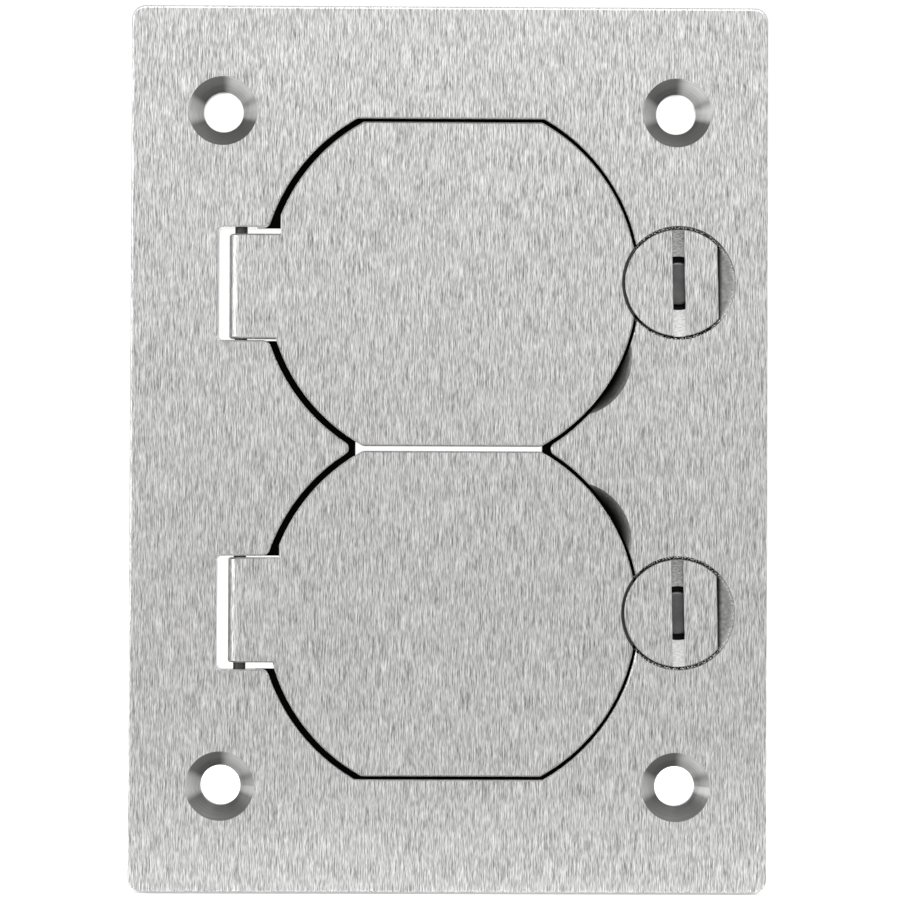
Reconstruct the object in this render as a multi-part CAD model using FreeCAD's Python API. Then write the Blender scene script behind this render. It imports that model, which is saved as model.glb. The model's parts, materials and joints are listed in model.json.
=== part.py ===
import FreeCAD
import Part
import math
import os

# A flush cover plate for a duplex receptacle. Two hinged lids close over the receptacle's
# faces, and a half-turn latch with a D-shaped head laps over each lid's free edge.
#
# Each piece is drawn with the plate lying face up: X across the plate, Y up the plate, Z out
# of its front face, and Z = 0 on the plate's back face. write_part() then stands the piece
# upright, so that in the files X is across, Z is up and the front faces -Y.
# All sizes are in millimetres.

Vec = FreeCAD.Vector

# ---- plate ----
PLATE_WIDTH = 75.4
PLATE_HEIGHT = 104.8
PLATE_THICK = 3.2
PLATE_CORNER_R = 1.6
PLATE_EDGE_R = 0.35
FACE_SPACING = 39.0            # centre to centre of the two receptacle faces
FACE_Y = FACE_SPACING / 2

# ---- corner screw holes, for flat-head screws ----
HOLE_SPACING_X = 53.8
HOLE_SPACING_Y = 79.8
HOLE_R = 2.375
SINK_R = 4.1
SINK_HALF_ANGLE = 41.0         # half of the 82 degree countersink

# ---- lids and the opening that they lie in ----
LID_R = 21.9
LID_HALF = 19.2                # half the height between the lid's two flats
LID_X = 0.35                   # play in the hinge lets the lid lie towards its latch
LID_THICK = 2.2
OPENING_R = 22.5
OPENING_X = 0.1
OPENING_HALF = 19.58
LEDGE_R = 20.3                 # the ledge runs in to this radius under the lid
LEDGE_HALF = 17.6
LEDGE_GAP = 0.1                # under the closed lid
MIDDLE_HALF_X = 11.1           # between the lids the ledge is cut back to here
MIDDLE_HALF_Y = 3.0
CUSP_R = 0.8
FLAT_CORNER_R = 0.5
EDGE_BREAK = 0.2

# ---- collar behind the plate that carries the ledge ----
COLLAR_WALL = 2.4
COLLAR_DEPTH = 1.6

# ---- hinges ----
PIN_X = -24.7
PIN_R = 0.75
KNUCKLE_R = 1.4
KNUCKLE_BORE_R = 0.8
PIN_Z = PLATE_THICK - KNUCKLE_R
TAB_HALF = 6.2
TAB_SHIFT = -0.35              # each tab sits nearer to the middle of the plate
SLOT_HALF = 6.7
SLOT_SHIFT = -0.05
SLOT_LEFT_X = -27.4
SLOT_CORNER_R = 0.6
SLOT_MOUTH_R = 1.0
SEAT_LENGTH = 4.0              # of the pin's seat beyond each end of the slot
STAKE_WIDTH = 1.1              # lips of the plate staked across the pin
STAKE_REACH = 1.4
ROOT_FLAT_X = -20.0            # the lid's edge is trimmed straight beside its tab
ROOT_FLAT_HEIGHT = 3.6

# ---- finger notches beside the lids ----
NOTCH_BALL_R = 9.0
NOTCH_R = 7.2                  # where the ball meets the front face
NOTCH_FROM_LID = 16.8
NOTCH_ANGLE = 30.5

# ---- latches ----
LATCH_X = 27.15
LATCH_SPACING = 39.1
LATCH_SHIFT = 0.2              # both latches sit this much above the lids' middles
LATCH_REST_TURN = 1.2          # degrees that the slot stands off upright
DISC_R = 6.35
DISC_THICK = 1.2
DISC_FLAT = 4.65               # from the axis to the D's flat
POCKET_R = 6.75
POCKET_DEPTH = 1.3
REBATE_GAP = 0.2               # from the disc down to the lid's rebate
SLOT_WIDTH = 1.45
SLOT_DEPTH = 0.8
BORE_ROOF = 0.5                # of metal left over the disc's blind bore
BORE_R = 3.2
HUB_R = 4.0
HUB_POCKET_R = 4.1
HUB_POCKET_FLOOR = 0.1
LUG_R = 4.6
LUG_WIDTH = 1.5
LUG_HEIGHT = 1.2
LUG_GROOVE_R = 4.68
LUG_PLAY = 2.0                 # degrees left at each end of the half turn
BOSS_R = 7.8
BOSS_DEPTH = 2.4
BOSS_EDGE = 0.5

# ---- stud and the pieces on its back end ----
STUD_NOSE_R = 2.65
STUD_NOSE_TOP = 1.1            # below the front face
STUD_NOSE_LENGTH = 0.9
STUD_NOSE_ROUND = 0.45
STUD_R = 2.5
STUD_BORE_R = 2.55
STUD_END = 1.0                 # of stud left past the retaining ring
STUD_CHAMFER = 0.4
GROOVE_R = 1.95
WASHER_IN_R = 2.6
WASHER_OUT_R = 4.7
WASHER_THICK = 0.6
WAVE_HEIGHT = 0.9
WAVE_THICK = 0.3
WAVES = 3
WAVE_STATIONS = 48
RING_THICK = 0.6
RING_IN_R = 3.1
RING_OUT_R = 4.4
PRONG_WIDTH = 1.5
RING_MOUTH = 3.2

# ---- gaskets ----
LID_GASKET_R = 18.6
LID_GASKET_HALF = 16.2
LID_GASKET_THICK = 1.2
GASKET_THICK = 1.6
GASKET_INSET = 1.0
GASKET_CORNER_R = 1.2
GASKET_CLEARANCE = 1.0
GASKET_HOLE_R = 3.0
GASKET_HINGE_X = (-29.2, -20.0)
GASKET_HINGE_HALF = 12.2

FAR = 20.0                     # longer than any cut needs
DISC_BOTTOM = PLATE_THICK - DISC_THICK
LEDGE_TOP = PLATE_THICK - LID_THICK - LEDGE_GAP
HUB_BOTTOM = HUB_POCKET_FLOOR + 0.1
WAVE_TOP = -BOSS_DEPTH
WASHER_TOP = WAVE_TOP - WAVE_HEIGHT
RING_TOP = WASHER_TOP - WASHER_THICK
STUD_BOTTOM = RING_TOP - RING_THICK - STUD_END


# ---- shapes used by several pieces ----

def block(x0, x1, y0, y1, z0, z1):
    return Part.makeBox(x1 - x0, y1 - y0, z1 - z0, Vec(x0, y0, z0))


def rod(r, z0, z1, x=0.0, y=0.0):
    return Part.makeCylinder(r, z1 - z0, Vec(x, y, z0))


def tube(r_out, r_in, z0, z1, x=0.0, y=0.0):
    return rod(r_out, z0, z1, x, y).cut(rod(r_in, z0 - 1, z1 + 1, x, y))


def flatted_disc(r, half, z0, z1, x, y):
    """A round disc cut straight across its top and bottom."""
    return rod(r, z0, z1, x, y).common(block(x - r, x + r, y - half, y + half, z0, z1))


def rounded_block(width, height, z0, z1, corner_r):
    slab = block(-width / 2, width / 2, -height / 2, height / 2, z0, z1)
    return slab.makeFillet(corner_r, upright_edges(slab))


def upright_edges(shape):
    """The edges that run along Z."""
    found = []
    for edge in shape.Edges:
        a, b = edge.Vertexes[0].Point, edge.Vertexes[-1].Point
        if abs(a.z - b.z) > 1e-6 and math.hypot(a.x - b.x, a.y - b.y) < 1e-6:
            found.append(edge)
    return found


def edges_at(shape, z):
    """The edges that lie all the way at height z."""
    box_of = [(edge, edge.BoundBox) for edge in shape.Edges]
    return [edge for edge, b in box_of if abs(b.ZMin - z) < 1e-6 and abs(b.ZMax - z) < 1e-6]


def round_uprights(shape, corners):
    """Rounds the upright edges that stand at the given (x, y, radius)."""
    for x, y, r in corners:
        near = min(
            upright_edges(shape),
            key=lambda e: math.hypot(e.Vertexes[0].Point.x - x, e.Vertexes[0].Point.y - y),
        )
        shape = shape.makeFillet(r, [near])
    return shape


def slot_block(side, x_right, z0, z1):
    """The space in the plate that a hinge tab swings in."""
    middle = side * (FACE_Y + SLOT_SHIFT)
    slot = block(SLOT_LEFT_X, x_right, middle - SLOT_HALF, middle + SLOT_HALF, z0, z1)
    ends = (middle - SLOT_HALF, middle + SLOT_HALF)
    return round_uprights(slot, [(SLOT_LEFT_X, y, SLOT_CORNER_R) for y in ends])


def latch_y(side):
    return side * LATCH_SPACING / 2 + LATCH_SHIFT


# ---- cover plate ----

def opening_cutter():
    """The figure-eight opening and the two hinge slots, down to the ledge."""
    z0, z1 = LEDGE_TOP, PLATE_THICK + 1
    solids = []
    for side in (1, -1):
        solids.append(flatted_disc(OPENING_R, OPENING_HALF, z0, z1, OPENING_X, side * FACE_Y))
        solids.append(slot_block(side, 0, z0, z1))
    whole = solids[0].multiFuse(solids[1:]).removeSplitter()

    cusp_x = math.sqrt(OPENING_R**2 - FACE_Y**2)
    corner_x = math.sqrt(OPENING_R**2 - OPENING_HALF**2)
    corners = [(OPENING_X + cusp_x, 0, CUSP_R), (OPENING_X - cusp_x, 0, CUSP_R)]
    for side in (1, -1):
        flat_y = side * (FACE_Y + OPENING_HALF)
        corners += [(OPENING_X + across * corner_x, flat_y, FLAT_CORNER_R) for across in (1, -1)]
        middle = side * (FACE_Y + SLOT_SHIFT)
        for end in (1, -1):
            y = middle + end * SLOT_HALF
            mouth_x = OPENING_X - math.sqrt(OPENING_R**2 - (y - side * FACE_Y)**2)
            corners.append((mouth_x, y, SLOT_MOUTH_R))
    return round_uprights(whole, corners)


def ledge_cutter():
    """What is open right through, inside the ledge."""
    z0, z1 = -FAR, PLATE_THICK + 1
    whole = block(-MIDDLE_HALF_X, MIDDLE_HALF_X, -MIDDLE_HALF_Y, MIDDLE_HALF_Y, z0, z1)
    for side in (1, -1):
        whole = whole.fuse(flatted_disc(LEDGE_R, LEDGE_HALF, z0, z1, 0, side * FACE_Y))
        whole = whole.fuse(slot_block(side, PIN_X + 8, z0, z1))
    return whole


def collar():
    pieces = [
        flatted_disc(OPENING_R + COLLAR_WALL, OPENING_HALF + COLLAR_WALL,
                     -COLLAR_DEPTH, 0.2, 0, side * FACE_Y)
        for side in (1, -1)
    ]
    return pieces[0].fuse(pieces[1])


def latch_boss(side):
    boss = rod(BOSS_R, -BOSS_DEPTH, 0.2, LATCH_X, latch_y(side))
    return boss.makeChamfer(BOSS_EDGE, edges_at(boss, -BOSS_DEPTH))


def countersunk_hole(x, y):
    depth = (SINK_R - HOLE_R) / math.tan(math.radians(SINK_HALF_ANGLE))
    cone = Part.makeCone(HOLE_R, SINK_R, depth, Vec(x, y, PLATE_THICK - depth))
    mouth = rod(SINK_R, PLATE_THICK, PLATE_THICK + 1, x, y)
    return rod(HOLE_R, -1, PLATE_THICK + 1, x, y).fuse(cone).fuse(mouth)


def stop_groove(x, y, z0, z1):
    """A groove on the outer side of the hub's pocket that the stop lug travels round."""
    lug_half = math.degrees(math.asin(LUG_WIDTH / 2 / LUG_R))
    sweep = 180 + 2 * (lug_half + LUG_PLAY)
    start = -sweep / 2 + LATCH_REST_TURN
    sector = Part.makeCylinder(LUG_GROOVE_R, z1 - z0, Vec(x, y, z0), Vec(0, 0, 1), sweep)
    sector.rotate(Vec(x, y, z0), Vec(0, 0, 1), start)
    return sector


def latch_cutter(side):
    x, y = LATCH_X, latch_y(side)
    pocket_floor = PLATE_THICK - POCKET_DEPTH
    cut = rod(POCKET_R, pocket_floor, PLATE_THICK + 1, x, y)
    cut = cut.fuse(rod(HUB_POCKET_R, HUB_POCKET_FLOOR, PLATE_THICK, x, y))
    cut = cut.fuse(rod(STUD_BORE_R, -FAR, PLATE_THICK, x, y))
    return cut.fuse(stop_groove(x, y, HUB_POCKET_FLOOR, PLATE_THICK))


def finger_notch(side):
    """A ball-shaped notch beside the lid, on the side nearer to the plate's middle."""
    angle = math.radians(-side * NOTCH_ANGLE)
    x = NOTCH_FROM_LID * math.cos(angle)
    y = side * FACE_Y + NOTCH_FROM_LID * math.sin(angle)
    height = math.sqrt(NOTCH_BALL_R**2 - NOTCH_R**2)
    return Part.makeSphere(NOTCH_BALL_R, Vec(x, y, PLATE_THICK + height))


def pin_span(side):
    """The lowest and highest Y of a hinge pin."""
    middle = side * (FACE_Y + SLOT_SHIFT)
    return middle - SLOT_HALF - SEAT_LENGTH, middle + SLOT_HALF + SEAT_LENGTH


def pin_groove(side):
    """The seat that the pin is laid into from the back, less the two lips staked over it."""
    y0, y1 = pin_span(side)
    bed = Part.makeCylinder(PIN_R, y1 - y0, Vec(PIN_X, y0, PIN_Z), Vec(0, 1, 0))
    groove = block(PIN_X - PIN_R, PIN_X + PIN_R, y0, y1, -1, PIN_Z)
    for end, inward in ((y0, 1), (y1, -1)):
        lip_y = end + inward * STAKE_REACH
        a, b = sorted((lip_y, lip_y + inward * STAKE_WIDTH))
        groove = groove.cut(block(PIN_X - 1, PIN_X + 1, a, b, -1, PIN_Z))
    return groove.fuse(bed)


def cover_plate():
    plate = rounded_block(PLATE_WIDTH, PLATE_HEIGHT, 0, PLATE_THICK, PLATE_CORNER_R)
    plate = plate.makeFillet(PLATE_EDGE_R, edges_at(plate, PLATE_THICK))
    plate = plate.fuse([collar(), latch_boss(1), latch_boss(-1)]).removeSplitter()
    plate = plate.cut(opening_cutter())
    inner = [e for e in edges_at(plate, PLATE_THICK) if e.BoundBox.XMax < PLATE_WIDTH / 2 - 2
             and abs(e.BoundBox.Center.y) < PLATE_HEIGHT / 2 - 2 and e.BoundBox.XMin > -PLATE_WIDTH / 2 + 2]
    plate = plate.makeChamfer(EDGE_BREAK, inner)
    plate = plate.cut(ledge_cutter())
    for side in (1, -1):
        plate = plate.cut(finger_notch(side))
        plate = plate.cut(latch_cutter(side))
        plate = plate.cut(pin_groove(side))
        for x in (-HOLE_SPACING_X / 2, HOLE_SPACING_X / 2):
            plate = plate.cut(countersunk_hole(x, side * HOLE_SPACING_Y / 2))
    return plate


# ---- lids and hinges ----

def tab_middle(side):
    return side * (FACE_Y + TAB_SHIFT)


def lid(side):
    """A flatted disc with a hinge tab and knuckle, rebated where the latch laps over it."""
    z0, z1 = PLATE_THICK - LID_THICK, PLATE_THICK
    y = side * FACE_Y
    tab_y = tab_middle(side)
    blank = flatted_disc(LID_R, LID_HALF, z0, z1, LID_X, y)
    blank = round_uprights(blank, [
        (LID_X + across * math.sqrt(LID_R**2 - LID_HALF**2), y + up * LID_HALF, FLAT_CORNER_R)
        for across in (1, -1) for up in (1, -1)
    ])
    top_of_tab = tab_y + TAB_HALF
    blank = blank.cut(block(-FAR * 2, ROOT_FLAT_X, top_of_tab, top_of_tab + ROOT_FLAT_HEIGHT, z0, z1))
    tab = block(PIN_X, LID_X, tab_y - TAB_HALF, top_of_tab, z0, z1)
    blank = blank.fuse(tab).removeSplitter()
    rim = [e for e in edges_at(blank, z1) if e.BoundBox.XMax > PIN_X + 1e-3]
    blank = blank.makeChamfer(EDGE_BREAK, rim)

    knuckle = Part.makeCylinder(KNUCKLE_R, 2 * TAB_HALF, Vec(PIN_X, tab_y - TAB_HALF, PIN_Z), Vec(0, 1, 0))
    ends = [e for e in knuckle.Edges if e.BoundBox.YLength < 1e-6]
    blank = blank.fuse(knuckle.makeChamfer(EDGE_BREAK, ends))
    bore = Part.makeCylinder(KNUCKLE_BORE_R, 4 * TAB_HALF, Vec(PIN_X, tab_y - 2 * TAB_HALF, PIN_Z), Vec(0, 1, 0))
    rebate = rod(POCKET_R, DISC_BOTTOM - REBATE_GAP, z1 + 1, LATCH_X, latch_y(side))
    return blank.cut(bore).cut(rebate).removeSplitter()


def lid_gasket(side):
    """A foam pad glued under the lid, which closes against the receptacle's face."""
    z1 = PLATE_THICK - LID_THICK
    return flatted_disc(LID_GASKET_R, LID_GASKET_HALF, z1 - LID_GASKET_THICK, z1, LID_X, side * FACE_Y)


def hinge_pin(side):
    y0, y1 = pin_span(side)
    pin = Part.makeCylinder(PIN_R, y1 - y0, Vec(PIN_X, y0, PIN_Z), Vec(0, 1, 0))
    return pin.makeChamfer(0.15, [e for e in pin.Edges if e.BoundBox.YLength < 1e-6])


# ---- latches ----

def placed(shape, side):
    """Turns a latch piece to its rest angle and moves it from the origin to its place."""
    shape.rotate(Vec(0, 0, 0), Vec(0, 0, 1), LATCH_REST_TURN)
    shape.translate(Vec(LATCH_X, latch_y(side), 0))
    return shape


def latch_disc(side):
    """The D-shaped head, with a screwdriver slot, a hub with a blind bore and a stop lug."""
    top = PLATE_THICK
    head = rod(DISC_R, DISC_BOTTOM, top).cut(block(DISC_FLAT, DISC_R + 1, -FAR, FAR, DISC_BOTTOM - 1, top + 1))
    head = head.makeChamfer(EDGE_BREAK / 2, edges_at(head, top))
    hub = rod(HUB_R, HUB_BOTTOM, DISC_BOTTOM + 0.1)
    lug = block(-LUG_WIDTH / 2, LUG_WIDTH / 2, -LUG_R, 0, DISC_BOTTOM - LUG_HEIGHT, DISC_BOTTOM + 0.1)
    lug = lug.common(rod(LUG_R, HUB_BOTTOM, top))
    disc = head.fuse([hub, lug])
    disc = disc.cut(rod(BORE_R, HUB_BOTTOM - 1, top - BORE_ROOF))
    disc = disc.cut(block(-SLOT_WIDTH / 2, SLOT_WIDTH / 2, -FAR, FAR, top - SLOT_DEPTH, top + 1))
    return placed(disc.removeSplitter(), side)


def latch_stud(side):
    """Pressed into the disc's bore. Its narrow nose shows at the bottom of the slot."""
    nose_top = PLATE_THICK - STUD_NOSE_TOP
    nose = rod(STUD_NOSE_R, nose_top - STUD_NOSE_LENGTH - 0.1, nose_top)
    nose = nose.makeFillet(STUD_NOSE_ROUND, edges_at(nose, nose_top))
    press = rod(BORE_R, HUB_BOTTOM, nose_top - STUD_NOSE_LENGTH)
    shaft = rod(STUD_R, STUD_BOTTOM, HUB_BOTTOM + 0.1)
    shaft = shaft.makeChamfer(STUD_CHAMFER, edges_at(shaft, STUD_BOTTOM))
    stud = nose.fuse([press, shaft]).removeSplitter()
    return placed(stud.cut(tube(STUD_R + 1, GROOVE_R, RING_TOP - RING_THICK, RING_TOP)), side)


def wave_edge(r, base):
    """A closed curve of radius r that rises and falls WAVES times a turn."""
    swing = (WAVE_HEIGHT - WAVE_THICK) / 2
    points = []
    for i in range(WAVE_STATIONS):
        a = 2 * math.pi * i / WAVE_STATIONS
        points.append(Vec(r * math.cos(a), r * math.sin(a), base + swing * math.cos(WAVES * a)))
    curve = Part.BSplineCurve()
    curve.interpolate(Points=points, PeriodicFlag=True)
    return curve.toShape()


def latch_wave_washer(side):
    """A springy ring that draws the disc down onto its pocket and gives the latch its drag."""
    middle = WAVE_TOP - WAVE_HEIGHT / 2
    rims = {}
    for name, r in (("in", WASHER_IN_R), ("out", WASHER_OUT_R)):
        for level, offset in (("low", -WAVE_THICK / 2), ("high", WAVE_THICK / 2)):
            rims[name, level] = wave_edge(r, middle + offset)
    pairs = [
        (("in", "low"), ("out", "low")),
        (("in", "high"), ("out", "high")),
        (("in", "low"), ("in", "high")),
        (("out", "low"), ("out", "high")),
    ]
    shell = Part.makeShell([Part.makeRuledSurface(rims[a], rims[b]) for a, b in pairs])
    shell.sewShape()
    solid = Part.makeSolid(Part.Shell(shell.Faces))
    if solid.Volume < 0:
        solid.reverse()
    return placed(solid, side)


def latch_flat_washer(side):
    return placed(tube(WASHER_OUT_R, WASHER_IN_R, RING_TOP, WASHER_TOP), side)


def latch_retaining_ring(side):
    """An E-ring pushed sideways into the stud's groove."""
    z0, z1 = RING_TOP - RING_THICK, RING_TOP
    ring = tube(RING_OUT_R, RING_IN_R, z0, z1)
    ring = ring.cut(block(0, RING_OUT_R + 1, -RING_MOUTH / 2, RING_MOUTH / 2, z0, z1))
    for turn in (90, 180, 270):
        prong = block(GROOVE_R - 0.4, RING_IN_R + 0.3, -PRONG_WIDTH / 2, PRONG_WIDTH / 2, z0, z1)
        prong.rotate(Vec(0, 0, 0), Vec(0, 0, 1), turn)
        ring = ring.fuse(prong)
    return placed(ring.cut(rod(GROOVE_R, z0, z1)).removeSplitter(), side)


# ---- gasket behind the plate ----

def mounting_gasket():
    """A die-cut sheet between the plate and its box, cut clear of everything behind the plate."""
    z0, z1 = -GASKET_THICK, 0.0
    sheet = rounded_block(PLATE_WIDTH - 2 * GASKET_INSET, PLATE_HEIGHT - 2 * GASKET_INSET, z0, z1, GASKET_CORNER_R)
    out = COLLAR_WALL + GASKET_CLEARANCE
    for side in (1, -1):
        y = side * FACE_Y
        sheet = sheet.cut(flatted_disc(OPENING_R + out, OPENING_HALF + out, z0 - 1, z1 + 1, 0, y))
        sheet = sheet.cut(rod(BOSS_R + GASKET_CLEARANCE, z0 - 1, z1 + 1, LATCH_X, latch_y(side)))
        left, right = GASKET_HINGE_X
        sheet = sheet.cut(block(left, right, y - GASKET_HINGE_HALF, y + GASKET_HINGE_HALF, z0 - 1, z1 + 1))
        for x in (-HOLE_SPACING_X / 2, HOLE_SPACING_X / 2):
            sheet = sheet.cut(rod(GASKET_HOLE_R, z0 - 1, z1 + 1, x, side * HOLE_SPACING_Y / 2))
    return sheet.removeSplitter()


# ---- output ----

def write_part(name, shape):
    shape = shape.copy()
    shape.rotate(Vec(0, 0, 0), Vec(1, 0, 0), 90)
    solids = shape.Solids
    if len(solids) == 1:
        shape = solids[0]
    box = shape.BoundBox
    print(f"{name}: solids {len(solids)}, valid {shape.isValid()}, volume {shape.Volume:.2f} mm3, "
          f"size {box.XLength:.2f} x {box.YLength:.2f} x {box.ZLength:.2f}")
    shape.exportStep(f"parts/{name}.step")


PAIRED = {
    "lid": lid,
    "lid_gasket": lid_gasket,
    "hinge_pin": hinge_pin,
    "latch_disc": latch_disc,
    "latch_stud": latch_stud,
    "latch_wave_washer": latch_wave_washer,
    "latch_flat_washer": latch_flat_washer,
    "latch_retaining_ring": latch_retaining_ring,
}

os.makedirs("parts", exist_ok=True)
write_part("cover_plate", cover_plate())
write_part("mounting_gasket", mounting_gasket())
for place, side in (("upper", 1), ("lower", -1)):
    for piece, make in PAIRED.items():
        write_part(f"{place}_{piece}", make(side))
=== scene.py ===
import json
import math

import bpy
from mathutils import Euler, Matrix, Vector


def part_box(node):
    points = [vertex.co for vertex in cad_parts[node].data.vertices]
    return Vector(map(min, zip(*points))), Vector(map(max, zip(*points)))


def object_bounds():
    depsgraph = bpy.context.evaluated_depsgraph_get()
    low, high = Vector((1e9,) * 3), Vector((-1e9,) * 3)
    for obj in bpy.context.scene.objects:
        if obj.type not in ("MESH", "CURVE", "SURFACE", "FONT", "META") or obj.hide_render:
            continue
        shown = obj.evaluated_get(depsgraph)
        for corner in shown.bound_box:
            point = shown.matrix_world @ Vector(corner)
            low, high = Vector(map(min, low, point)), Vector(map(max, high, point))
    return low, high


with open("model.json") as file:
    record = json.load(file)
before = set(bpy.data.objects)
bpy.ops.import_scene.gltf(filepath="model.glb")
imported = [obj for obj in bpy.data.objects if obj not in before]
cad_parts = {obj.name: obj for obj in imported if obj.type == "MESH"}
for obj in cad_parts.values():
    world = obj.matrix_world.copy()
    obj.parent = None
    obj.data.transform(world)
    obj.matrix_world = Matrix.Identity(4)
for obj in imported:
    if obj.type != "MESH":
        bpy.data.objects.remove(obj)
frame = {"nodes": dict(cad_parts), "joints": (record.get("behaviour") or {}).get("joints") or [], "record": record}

CAD_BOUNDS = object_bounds()
MM = 0.001

# ---- where things are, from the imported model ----
RECORD = frame["record"]
MOUNTS = {mount["name"]: mount for mount in RECORD["mounts"]}
JOINTS = {joint["name"]: joint for joint in frame["joints"]}
FRONT_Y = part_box("cover_plate")[0].y
HOLE_DIMS = MOUNTS["corner_holes"]["dims"]
HOLE_X = HOLE_DIMS["spacing_x_mm"] / 2 * MM
HOLE_Z = HOLE_DIMS["spacing_y_mm"] / 2 * MM
LATCH_X = JOINTS["upper_latch_turn"]["pos_m"][0]
LATCH_Z = [JOINTS[name]["pos_m"][2] for name in ("upper_latch_turn", "lower_latch_turn")]
TAB_LENGTH = 4.0 * MM
ROOT_X = JOINTS["upper_lid_hinge"]["pos_m"][0] + TAB_LENGTH

# ---- sizes that only the looks need ----
SINK_R = 4.1 * MM
POCKET_R = 6.75 * MM
DISC_R = 6.35 * MM
DISC_FLAT = 4.65 * MM
NOTCH_X = 14.48 * MM
NOTCH_Z = 10.97 * MM
NOTCH_R = 7.2 * MM
RECESS_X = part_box("upper_lid")[1].x + 0.6 * MM
RECESS_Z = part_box("upper_lid")[1].z + 1.0 * MM
NUDGE = 0.02 * MM                # keeps a boundary off the edge that it follows
STREAK_WIDTH = 0.07 * MM
STREAK_LENGTH = 0.85 * MM
LINE_WIDTH = 0.08 * MM
LINE_LENGTH = 3.2 * MM
SCRATCH_WIDTH = 0.3 * MM
SCRATCH_LENGTH = 7.0 * MM
CLOUD_SIZE = 9.0 * MM
TURNING_PITCH = 0.14 * MM
MARK_DEPTH = 0.004 * MM          # of brushing and turning marks
CUT_DEPTH = 0.006 * MM           # of the marks in a coin slot
RUBBER_GRAIN_DEPTH = 0.05 * MM
SMOOTH_ANGLE = math.radians(32)

# ---- colours ----
METAL_LIGHT = 1.0
METAL_DARK = 0.10
METAL_WARMTH = (1.0, 1.0, 0.985)
STEEL_TINT = (1.0, 1.0, 1.01)
# painted shade: the black of gaps, recesses and bores
PAINTED_SHADE_BLACK = 0.012
FACE_ANISOTROPY = 0.6
FACE_ROUGHNESS = (0.42, 0.30)    # of the dark and the light streaks
RECESS_ROUGHNESS = 0.8
POCKET_ROUGHNESS = 0.45
SINK_ROUGHNESS = 0.36
BACK_ROUGHNESS = 0.5
UNDERSIDE_ROUGHNESS = 0.5
SLOT_ROUGHNESS = 0.4
STREAK_SHARE = 0.40              # what each layer adds to the brushing
LINE_SHARE = 0.42
SCRATCH_SHARE = 0.12
CLOUD_SHARE = 0.06
# painted highlights in a countersink, bright fans with painted shade between them: direction and half width in
# degrees, and strength
PAINTED_SINK_HIGHLIGHTS = ((52, 40, 1.0), (0, 22, 0.55), (178, 30, 0.7))


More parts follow.
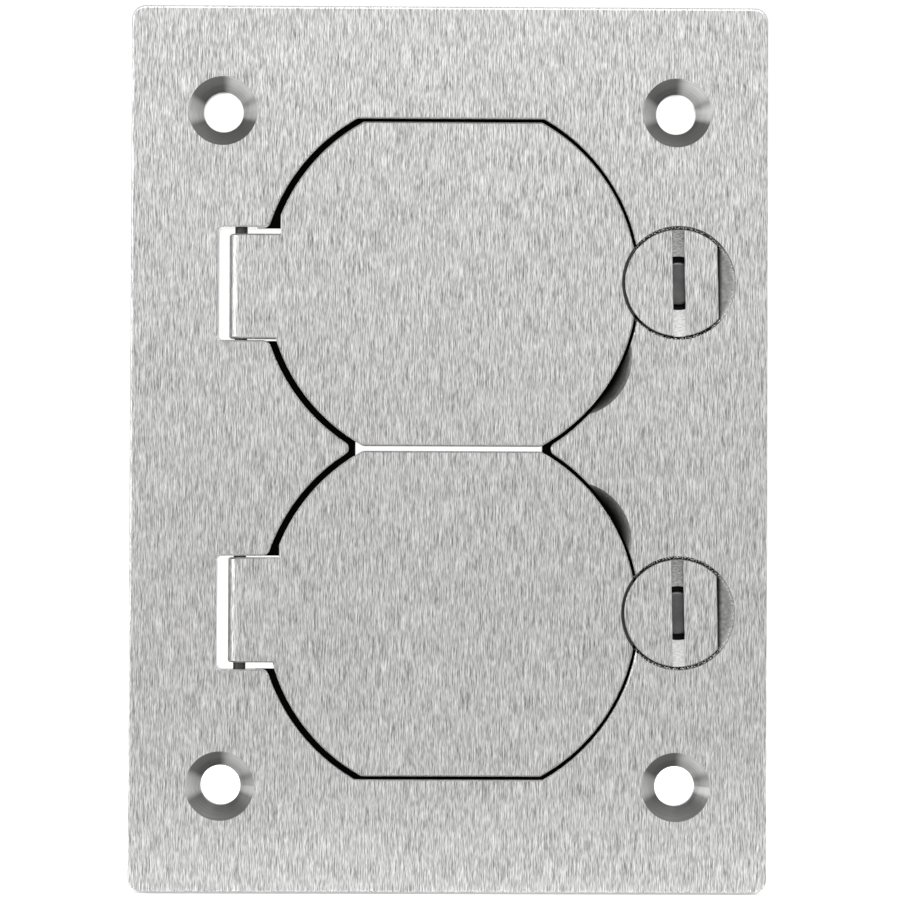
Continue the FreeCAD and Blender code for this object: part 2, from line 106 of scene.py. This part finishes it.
class Graph:
    """Builds a material's nodes. Every call returns the new node's output socket."""

    def __init__(self, name):
        self.material = bpy.data.materials.new(name)
        self.material.use_nodes = True
        self.tree = self.material.node_tree
        self.shader = self.tree.nodes["Principled BSDF"]
        self.position = self.add("ShaderNodeTexCoord").outputs["Object"]

    def add(self, kind, **settings):
        node = self.tree.nodes.new(kind)
        for key, value in settings.items():
            setattr(node, key, value)
        return node

    def feed(self, socket, value):
        if isinstance(value, bpy.types.NodeSocket):
            self.tree.links.new(value, socket)
        else:
            socket.default_value = value

    def math(self, operation, a, b=0.0, clamp=False):
        node = self.add("ShaderNodeMath", operation=operation, use_clamp=clamp)
        self.feed(node.inputs[0], a)
        self.feed(node.inputs[1], b)
        return node.outputs[0]

    def vector(self, operation, a, b):
        node = self.add("ShaderNodeVectorMath", operation=operation)
        self.feed(node.inputs[0], a)
        self.feed(node.inputs[1], b)
        return node.outputs[0]

    def length(self, a):
        node = self.add("ShaderNodeVectorMath", operation="LENGTH")
        self.feed(node.inputs[0], a)
        return node.outputs["Value"]

    def split(self, vector):
        node = self.add("ShaderNodeSeparateXYZ")
        self.feed(node.inputs[0], vector)
        return node.outputs[0], node.outputs[1], node.outputs[2]

    def join(self, x, y, z):
        node = self.add("ShaderNodeCombineXYZ")
        for socket, value in zip(node.inputs, (x, y, z)):
            self.feed(socket, value)
        return node.outputs[0]

    def ramp(self, value, low, high, low_value=0.0, high_value=1.0):
        """Goes smoothly from low_value to high_value as value goes from low to high."""
        node = self.add("ShaderNodeMapRange", interpolation_type="SMOOTHSTEP")
        for socket, setting in zip(node.inputs, (value, low, high, low_value, high_value)):
            self.feed(socket, setting)
        return node.outputs[0]

    def mix(self, factor, a, b):
        """Numbers or sockets in, a number out."""
        node = self.add("ShaderNodeMix", data_type="FLOAT")
        self.feed(node.inputs[0], factor)
        self.feed(node.inputs[2], a)
        self.feed(node.inputs[3], b)
        return node.outputs[0]

    def mix_vector(self, factor, a, b):
        node = self.add("ShaderNodeMix", data_type="VECTOR")
        self.feed(node.inputs[0], factor)
        self.feed(node.inputs[4], a)
        self.feed(node.inputs[5], b)
        return node.outputs[1]

    def noise(self, vector, cell, detail=2.0, rough=0.5):
        """Noise whose cells are as large as cell, a size or an (x, y, z) of sizes."""
        sizes = cell if isinstance(cell, tuple) else (cell, cell, cell)
        scaled = self.vector("MULTIPLY", vector, tuple(1 / size for size in sizes))
        node = self.add("ShaderNodeTexNoise")
        self.feed(node.inputs["Vector"], scaled)
        node.inputs["Scale"].default_value = 1.0
        node.inputs["Detail"].default_value = detail
        node.inputs["Roughness"].default_value = rough
        return node.outputs["Fac"]

    def tint(self, value, colour=(1.0, 1.0, 1.0)):
        """A grey value as a colour."""
        node = self.add("ShaderNodeVectorMath", operation="SCALE")
        node.inputs[0].default_value = colour
        self.feed(node.inputs["Scale"], value)
        return node.outputs[0]

    def bump(self, height, depth, strength):
        node = self.add("ShaderNodeBump")
        node.inputs["Strength"].default_value = strength
        node.inputs["Distance"].default_value = depth
        self.feed(node.inputs["Height"], height)
        return node.outputs["Normal"]

    def finish(self, colour, roughness, metallic, normal=None, tangent=None, anisotropy=0.0):
        self.feed(self.shader.inputs["Base Color"], colour)
        self.feed(self.shader.inputs["Roughness"], roughness)
        self.shader.inputs["Metallic"].default_value = metallic
        self.shader.inputs["Anisotropic"].default_value = anisotropy
        if normal is not None:
            self.feed(self.shader.inputs["Normal"], normal)
        if tangent is not None:
            self.feed(self.shader.inputs["Tangent"], tangent)
        return self.material

    # ---- patterns shared by several metals ----

    def brushing(self, seed):
        """Fine streaks up and down, about 0 to 1, with longer scratches and a slow drift in them."""
        place = self.vector("ADD", self.position, (seed, 0.0, seed * 0.7))
        streak = self.noise(place, (STREAK_WIDTH, STREAK_WIDTH, STREAK_LENGTH), 1.0, 0.5)
        line = self.noise(place, (LINE_WIDTH, LINE_WIDTH, LINE_LENGTH), 1.0, 0.5)
        scratch = self.noise(place, (SCRATCH_WIDTH, SCRATCH_WIDTH, SCRATCH_LENGTH), 3.0, 0.6)
        cloud = self.noise(place, CLOUD_SIZE, 2.0)
        total = self.math("MULTIPLY", self.ramp(streak, 0.33, 0.67), STREAK_SHARE)
        total = self.math("ADD", total, self.math("MULTIPLY", self.ramp(line, 0.33, 0.67), LINE_SHARE))
        total = self.math("ADD", total, self.math("MULTIPLY", scratch, SCRATCH_SHARE))
        return self.math("ADD", total, self.math("MULTIPLY", cloud, CLOUD_SHARE))

    def world(self, vector):
        """A direction on the piece, turned as the piece turns."""
        node = self.add("ShaderNodeVectorTransform", vector_type="VECTOR",
                        convert_from="OBJECT", convert_to="WORLD")
        self.feed(node.inputs[0], vector)
        return node.outputs[0]

    def turned(self, x0, z0):
        """Distance from the nearest of four axes along Y at (+-x0, +-z0), the direction away
        from it, its angle, and turning marks round it."""
        x, _, z = self.split(self.position)
        dx = self.math("SUBTRACT", self.math("ABSOLUTE", x), x0)
        dz = self.math("SUBTRACT", self.math("ABSOLUTE", z), z0)
        dx = self.math("MULTIPLY", dx, self.math("SIGN", x))
        dz = self.math("MULTIPLY", dz, self.math("SIGN", z))
        away = self.join(dx, 0.0, dz)
        radius = self.length(away)
        angle = self.math("ARCTAN2", dz, dx)
        rings = self.math("DIVIDE", radius, TURNING_PITCH)
        spot = self.join(rings, self.math("MULTIPLY", angle, 0.8), 0.0)
        marks = self.noise(spot, 1.0, 2.0)
        return radius, away, angle, marks


# ---- materials ----

def brushed_face(graph, seed):
    """Pattern, colour value and roughness of a brushed face."""
    pattern = graph.brushing(seed)
    value = graph.mix(pattern, METAL_DARK, METAL_LIGHT)
    roughness = graph.mix(pattern, *FACE_ROUGHNESS)
    return pattern, value, roughness


def front_depth(graph):
    """How far a point lies behind the plate's front face."""
    _, y, _ = graph.split(graph.position)
    return graph.math("SUBTRACT", y, FRONT_Y)


def latch_offset(graph):
    """Position across and up from the nearer latch's axis."""
    x, _, z = graph.split(graph.position)
    upper = graph.math("GREATER_THAN", z, 0.0)
    across = graph.math("SUBTRACT", x, LATCH_X)
    up = graph.math("SUBTRACT", z, graph.mix(upper, LATCH_Z[1], LATCH_Z[0]))
    return across, up


def plate_material():
    g = Graph("plate_brushed")
    pattern, value, roughness = brushed_face(g, 0.0)
    x, _, z = g.split(g.position)
    depth = front_depth(g)
    _, normal_y, _ = g.split(g.add("ShaderNodeNewGeometry").outputs["Normal"])

    # countersinks: turned rings, with painted highlights in fans and painted shade between them
    sink_radius, sink_away, sink_angle, sink_marks = g.turned(HOLE_X, HOLE_Z)
    in_sink = g.math("MULTIPLY", g.math("LESS_THAN", sink_radius, SINK_R + NUDGE),
                     g.math("GREATER_THAN", depth, 0.01 * MM))
    sink_highlight = 0.0
    for degrees, half_width, strength in PAINTED_SINK_HIGHLIGHTS:
        off = g.math("COSINE", g.math("SUBTRACT", sink_angle, math.radians(degrees)))
        edge, full = math.radians(half_width), math.radians(half_width * 0.2)
        fan_highlight = g.ramp(off, math.cos(edge), math.cos(full))
        sink_highlight = g.math("ADD", sink_highlight, g.math("MULTIPLY", fan_highlight, strength), clamp=True)
    # painted shade outside the fans, painted highlight inside them
    sink_marks_and_highlights = g.math("MULTIPLY", g.mix(sink_marks, 0.6, 1.1), g.mix(sink_highlight, 0.24, 1.0), clamp=True)

    # latch pockets: milled floor, smoother and greyer than the face, with painted shade next to the disc's flat, a
    # painted highlight growing towards the outer rim and bright specks near it
    across, up = latch_offset(g)
    pocket_radius = g.length(g.join(across, 0.0, up))
    in_pocket = g.math("MULTIPLY", g.math("LESS_THAN", pocket_radius, POCKET_R - NUDGE),
                       g.math("GREATER_THAN", depth, 0.3 * MM))
    mill = g.noise(g.position, 0.35 * MM, 3.0)
    # painted shade next to the disc's flat
    shade = g.ramp(across, DISC_FLAT + 0.15 * MM, DISC_FLAT + 0.8 * MM, 0.03, 1.0)
    # painted highlight, brighter towards the rim
    rim_highlight = g.ramp(pocket_radius, DISC_R - 0.3 * MM, POCKET_R, 1.0, 1.5)
    # bright specks near the rim
    rim_specks = g.ramp(g.noise(g.position, 0.16 * MM, 2.0), 0.50, 0.60)
    rim_specks = g.math("MULTIPLY", rim_specks, g.ramp(pocket_radius, DISC_R, POCKET_R - 0.1 * MM))
    pocket_value = g.math("MULTIPLY", g.math("MULTIPLY", g.mix(mill, 0.12, 0.56), rim_highlight), shade)
    pocket_value = g.mix(rim_specks, pocket_value, 0.95)

    # painted shade: the opening's walls and ledge are nearly black, from just behind the face
    in_shaded_recess = g.math("MULTIPLY", g.ramp(depth, 0.5 * MM, 1.7 * MM),
                       g.ramp(depth, 2.75 * MM, 2.45 * MM))
    in_shaded_recess = g.math("MULTIPLY", in_shaded_recess, g.math("LESS_THAN", g.math("ABSOLUTE", x), RECESS_X))
    in_shaded_recess = g.math("MULTIPLY", in_shaded_recess, g.math("LESS_THAN", g.math("ABSOLUTE", z), RECESS_Z))

    # finger notches: ball-milled, with painted shade that darkens the deeper they go
    notch_x = g.math("SUBTRACT", x, NOTCH_X)
    notch_z = g.math("SUBTRACT", g.math("ABSOLUTE", z), NOTCH_Z)
    notch_radius = g.length(g.join(notch_x, 0.0, notch_z))
    in_notch = g.math("MULTIPLY", g.math("LESS_THAN", notch_radius, NOTCH_R),
                      g.ramp(depth, 0.01 * MM, 0.04 * MM))
    notch_marks = g.noise(g.position, (0.25 * MM, 0.25 * MM, 0.5 * MM), 3.0)
    # painted shade, darker with depth
    notch_shade = g.ramp(depth, 0.1 * MM, 1.6 * MM, 0.34, 0.012)
    notch_value = g.math("MULTIPLY", notch_shade, g.mix(notch_marks, 0.4, 1.6))

    # the back is milled and dull
    at_back = g.math("MULTIPLY", g.ramp(depth, 2.5 * MM, 3.0 * MM), g.ramp(normal_y, 0.2, 0.6))
    back_marks = g.noise(g.position, (6.0 * MM, 1.0 * MM, 0.22 * MM), 3.0)
    back_value = g.mix(back_marks, 0.34, 0.56)

    value = g.mix(at_back, value, back_value)
    value = g.mix(in_notch, value, notch_value)
    value = g.mix(in_shaded_recess, value, PAINTED_SHADE_BLACK)
    value = g.mix(in_pocket, value, pocket_value)
    value = g.mix(in_sink, value, sink_marks_and_highlights)
    roughness = g.mix(in_shaded_recess, roughness, RECESS_ROUGHNESS)
    roughness = g.mix(in_pocket, roughness, POCKET_ROUGHNESS)
    roughness = g.mix(in_sink, roughness, SINK_ROUGHNESS)
    roughness = g.mix(at_back, roughness, BACK_ROUGHNESS)
    height = g.mix(in_sink, pattern, sink_marks)
    tangent = g.world(g.mix_vector(in_sink, (1.0, 0.0, 0.0), sink_away))
    normal = g.bump(height, MARK_DEPTH, 0.5)
    return g.finish(g.tint(value, METAL_WARMTH), roughness, 1.0, normal, tangent, FACE_ANISOTROPY)


def lid_material():
    g = Graph("lid_brushed")
    pattern, value, roughness = brushed_face(g, 0.31)
    x, _, _ = g.split(g.position)
    # painted shade: the lid's sides and back, from 0.3 mm behind the front face, are dark, except on the hinge tab
    painted_shade_sides = g.math("MULTIPLY", g.ramp(front_depth(g), 0.3 * MM, 0.8 * MM),
                   g.ramp(x, ROOT_X - MM, ROOT_X))
    value = g.mix(painted_shade_sides, value, g.mix(g.noise(g.position, 0.5 * MM, 3.0), 0.10, 0.24))
    roughness = g.mix(painted_shade_sides, roughness, UNDERSIDE_ROUGHNESS)
    normal = g.bump(pattern, MARK_DEPTH, 0.5)
    # a lid turns about an upright axis, so its brushing stays upright, also round the knuckle
    surface = g.add("ShaderNodeNewGeometry").outputs["Normal"]
    across = g.vector("CROSS_PRODUCT", surface, (0.0, 0.0, 1.0))
    return g.finish(g.tint(value, METAL_WARMTH), roughness, 1.0, normal, across, FACE_ANISOTROPY)


def disc_material():
    g = Graph("latch_disc_brushed")
    pattern, value, roughness = brushed_face(g, 0.57)
    _, up = latch_offset(g)
    in_slot = g.ramp(front_depth(g), 0.3 * MM, 0.6 * MM)
    cut = g.ramp(g.noise(g.position, (0.5 * MM, 0.3 * MM, 0.16 * MM), 4.0, 0.65), 0.3, 0.7)
    # painted light: the slot's floor is grey (painted shade) at its upper end and bright (painted highlight) at
    # its lower end
    painted_slot_light = g.ramp(up, DISC_R, -DISC_R)
    slot_value = g.mix(painted_slot_light, g.mix(cut, 0.16, 0.5), g.mix(cut, 0.65, 1.0))
    value = g.mix(in_slot, value, slot_value)
    # painted shade: black deeper than the slot's floor
    value = g.mix(g.ramp(front_depth(g), 0.82 * MM, 0.9 * MM), value, PAINTED_SHADE_BLACK)
    roughness = g.mix(in_slot, roughness, SLOT_ROUGHNESS)
    normal = g.bump(g.mix(in_slot, pattern, cut), CUT_DEPTH, 0.6)
    across = g.world(g.join(1.0, 0.0, 0.0))
    return g.finish(g.tint(value, METAL_WARMTH), roughness, 1.0, normal, across, FACE_ANISOTROPY)


def turned_steel(name, dark, light, roughness, along, well=None):
    """Turned, drawn or stamped steel. along holds the size of its marks on each axis, and well the range of depth
    behind the front face in which it is painted black as shade."""
    g = Graph(name)
    marks = g.noise(g.position, along, 3.0, 0.6)
    blotch = g.noise(g.position, 2.0 * MM, 2.0)
    pattern = g.math("ADD", g.math("MULTIPLY", marks, 0.7), g.math("MULTIPLY", blotch, 0.3))
    value = g.mix(pattern, dark, light)
    if well:
        depth = front_depth(g)
        # painted shade: black within the well's range of depth
        shaded = g.math("MULTIPLY", g.math("GREATER_THAN", depth, well[0]),
                        g.math("LESS_THAN", depth, well[1]))
        value = g.mix(shaded, value, PAINTED_SHADE_BLACK)
    normal = g.bump(marks, MARK_DEPTH, 0.5)
    shine = g.mix(marks, roughness + 0.08, roughness - 0.06)
    return g.finish(g.tint(value, STEEL_TINT), shine, 1.0, normal)


def rubber(name, dark, light, grain):
    g = Graph(name)
    speck = g.noise(g.position, grain, 4.0, 0.6)
    cloud = g.noise(g.position, 6.0 * MM, 2.0)
    value = g.mix(g.math("MULTIPLY", speck, g.math("ADD", cloud, 0.4)), dark, light)
    normal = g.bump(speck, RUBBER_GRAIN_DEPTH, 0.6)
    return g.finish(g.tint(value), g.mix(speck, 0.9, 0.62), 0.0, normal)


MATERIALS = {
    "plate_metal": plate_material(),
    "lid_metal": lid_material(),
    "disc_metal": disc_material(),
    # painted shade: the pin is coloured near black, as it lies in shadow
    "pin_steel": turned_steel("pin_drawn_steel", 0.03, 0.10, 0.40, (0.2 * MM, 0.2 * MM, 3.0 * MM)),
    "stud_steel": turned_steel("stud_turned_steel", 0.05, 0.16, 0.42, (1.2 * MM, 0.12 * MM, 1.2 * MM),
                               (1.5 * MM, 3.0 * MM)),
    "washer_steel": turned_steel("washer_plated_steel", 0.40, 0.66, 0.38, (0.8 * MM, 0.8 * MM, 0.8 * MM)),
    "spring_steel": turned_steel("spring_steel", 0.08, 0.20, 0.36, (0.6 * MM, 0.6 * MM, 0.6 * MM)),
    "gasket_rubber": rubber("gasket_sheet", 0.012, 0.045, 0.12 * MM),
    "lid_gasket_rubber": rubber("lid_foam", 0.010, 0.05, 0.25 * MM),
}
for part in RECORD["subparts"]:
    node = frame["nodes"][part["node"]]
    mesh = node.data
    if not mesh.materials:
        mesh.materials.append(None)
    for index in range(len(mesh.materials)):
        mesh.materials[index] = MATERIALS[part["material_slot"]]
    mesh.polygons.foreach_set("use_smooth", [True] * len(mesh.polygons))
    mesh.set_sharp_from_angle(angle=SMOOTH_ANGLE)

# ---- floor: pale, with painted light glowing behind the object so that it meets the white sky, and painted shade darker towards the front ----
FLOOR_SIZE = 6.0
FLOOR_GAP = 0.2 * MM
FLOOR_PALE = 0.90
FLOOR_FRONT_SHADE = 0.5
FLOOR_GLOW = 0.35
FLOOR_ROUGHNESS = 0.9
PALE_FROM_Y, PALE_TO_Y = -0.14, -0.006
GLOW_FROM_Y, GLOW_TO_Y = -0.012, 0.0
bpy.ops.mesh.primitive_plane_add(size=FLOOR_SIZE, location=(0, 0, CAD_BOUNDS[0][2] - FLOOR_GAP))
floor = bpy.context.object
floor.name = "floor"
floor_graph = Graph("pale_floor")
_, floor_y, _ = floor_graph.split(floor_graph.position)
floor_tone = floor_graph.mix(floor_graph.noise(floor_graph.position, 0.25, 2.0), 0.98, 1.0)
# painted shade: darker towards the front
floor_shade = floor_graph.ramp(floor_y, PALE_FROM_Y, PALE_TO_Y, FLOOR_FRONT_SHADE, FLOOR_PALE)
floor.data.materials.append(floor_graph.finish(
    floor_graph.tint(floor_graph.math("MULTIPLY", floor_shade, floor_tone)), FLOOR_ROUGHNESS, 0.0))
floor_graph.shader.inputs["Emission Color"].default_value = (1.0, 1.0, 1.0, 1.0)
# painted light: the floor glows behind the object
floor_graph.feed(floor_graph.shader.inputs["Emission Strength"],
                 floor_graph.ramp(floor_y, GLOW_FROM_Y, GLOW_TO_Y, 0.0, FLOOR_GLOW))


# ---- light ----

def area_light(name, place, target, width, height, watts):
    data = bpy.data.lights.new(name, "AREA")
    data.shape = "RECTANGLE"
    data.size = width
    data.size_y = height
    data.energy = watts
    lamp = bpy.data.objects.new(name, data)
    lamp.location = place
    lamp.rotation_euler = (Vector(target) - Vector(place)).to_track_quat("-Z", "Y").to_euler()
    bpy.context.scene.collection.objects.link(lamp)


area_light("top_softbox", (0.0, -0.55, 0.55), (0, 0, 0.0), 0.7, 0.35, 2.2)
area_light("left_softbox", (-0.6, -0.25, 0.02), (0, 0, 0), 0.25, 0.5, 1.2)

world = bpy.data.worlds.new("studio")
bpy.context.scene.world = world
world.use_nodes = True
sky = world.node_tree
direction = sky.nodes.new("ShaderNodeTexCoord").outputs["Generated"]
parts = sky.nodes.new("ShaderNodeSeparateXYZ")
sky.links.new(direction, parts.inputs[0])


def sky_ramp(socket, low, high, low_value, high_value):
    node = sky.nodes.new("ShaderNodeMapRange")
    node.interpolation_type = "SMOOTHSTEP"
    sky.links.new(socket, node.inputs[0])
    for index, value in enumerate((low, high, low_value, high_value)):
        node.inputs[index + 1].default_value = value
    return node.outputs[0]


SKY_BEHIND = 1.02
SKY_FRONT_LOW = 0.35
SKY_FRONT_HIGH = 1.35
in_front = sky_ramp(parts.outputs[1], -0.5, 0.0, 1.0, 0.0)
upward = sky_ramp(parts.outputs[2], -0.22, 0.28, SKY_FRONT_LOW, SKY_FRONT_HIGH)
blend = sky.nodes.new("ShaderNodeMix")
blend.data_type = "FLOAT"
sky.links.new(in_front, blend.inputs[0])
blend.inputs[2].default_value = SKY_BEHIND
sky.links.new(upward, blend.inputs[3])
sky.links.new(blend.outputs[0], sky.nodes["Background"].inputs["Strength"])
sky.nodes["Background"].inputs["Color"].default_value = (1.0, 1.0, 1.0, 1.0)

# ---- camera: straight on, from a little below and to the left ----
CAMERA_PLACE = (-4.3 * MM, -403.0 * MM, -8.1 * MM)
CAMERA_YAW = 0.634
CAMERA_PITCH = 1.137
CAMERA_ROLL = 0.226
CAMERA_LENS = 135.36
SENSOR_WIDTH = 36.0
CLIP_START = 0.01
data = bpy.data.cameras.new("camera")
data.lens = CAMERA_LENS
data.sensor_width = SENSOR_WIDTH
data.clip_start = CLIP_START
camera = bpy.data.objects.new("camera", data)
camera.location = CAMERA_PLACE
camera.rotation_mode = "XYZ"
turn = (
    Euler((0, 0, math.radians(-CAMERA_YAW))).to_matrix()
    @ Euler((math.radians(90 + CAMERA_PITCH), 0, 0)).to_matrix()
    @ Euler((0, 0, math.radians(CAMERA_ROLL))).to_matrix()
)
camera.rotation_euler = turn.to_euler()
bpy.context.scene.collection.objects.link(camera)
bpy.context.scene.camera = camera
bpy.context.scene.view_settings.view_transform = "Standard"
